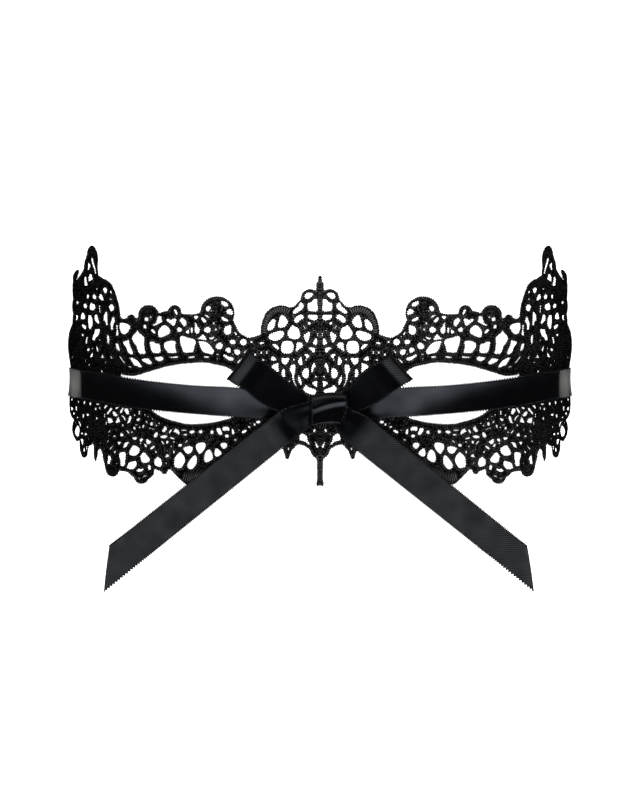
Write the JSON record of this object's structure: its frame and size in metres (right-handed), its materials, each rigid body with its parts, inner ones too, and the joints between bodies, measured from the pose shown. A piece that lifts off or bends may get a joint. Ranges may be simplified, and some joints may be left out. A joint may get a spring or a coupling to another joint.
{
  "type": "lace eye mask",
  "caption": "Half face mask of black guipure lace with eye holes and pointed wings, tied behind the head by satin ribbons in a bow.",
  "frame": {"origin": "under the middle of the outline, on the surface that the mask lies on with its face down", "axes": "+X along the mask from one temple to the other, +Y up the face towards the brow, +Z from the face of the lace towards the bow"},
  "size_m": [0.1462, 0.1016, 0.0669],
  "materials": {
    "lace": "matt embroidery thread",
    "satin": "woven satin with a soft sheen"
  },
  "bodies": {
    "root": {"lace_mask": "lace", "ribbon_left": "satin", "ribbon_right": "satin"}
  },
  "joints": []
}
